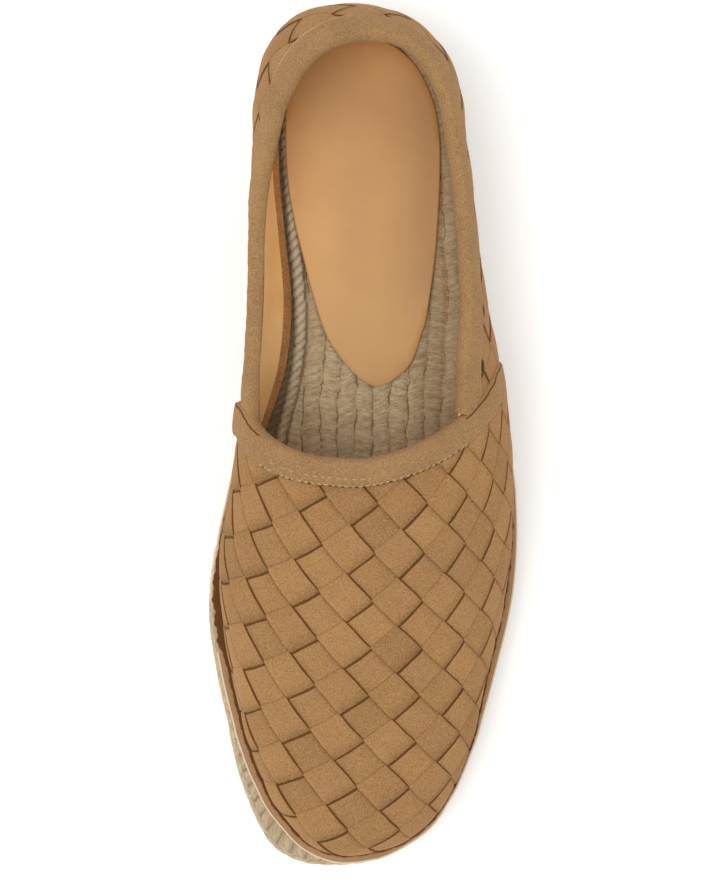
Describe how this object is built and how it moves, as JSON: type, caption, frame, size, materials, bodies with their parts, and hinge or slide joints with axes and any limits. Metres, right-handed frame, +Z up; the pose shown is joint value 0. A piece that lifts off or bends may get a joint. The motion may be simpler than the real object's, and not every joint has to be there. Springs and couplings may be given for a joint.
{
  "type": "woven suede espadrille, left shoe",
  "caption": "Low slip-on espadrille for the left foot: diagonal woven suede upper, open collar, folded bindings, leather half insole and a jute rope sole",
  "frame": {"origin": "centre of the footprint, on the ground that the shoe stands on", "axes": "+Z up, +Y from toe to heel along the shoe, +X to the outer side, so the inner side of this left shoe is -X"},
  "size_m": [0.1038, 0.2886, 0.0739],
  "materials": {
    "jute": "coarse natural jute rope",
    "suede": "tan suede, matte nap",
    "suede_trim": "tan suede, folded, matte nap",
    "insole_leather": "smooth tan leather, low sheen"
  },
  "bodies": {
    "root": {"jute_sole": "jute", "hem_rand": "suede_trim", "upper": "suede", "throat_band": "suede_trim", "collar_binding": "suede_trim", "insole": "insole_leather"}
  },
  "joints": []
}
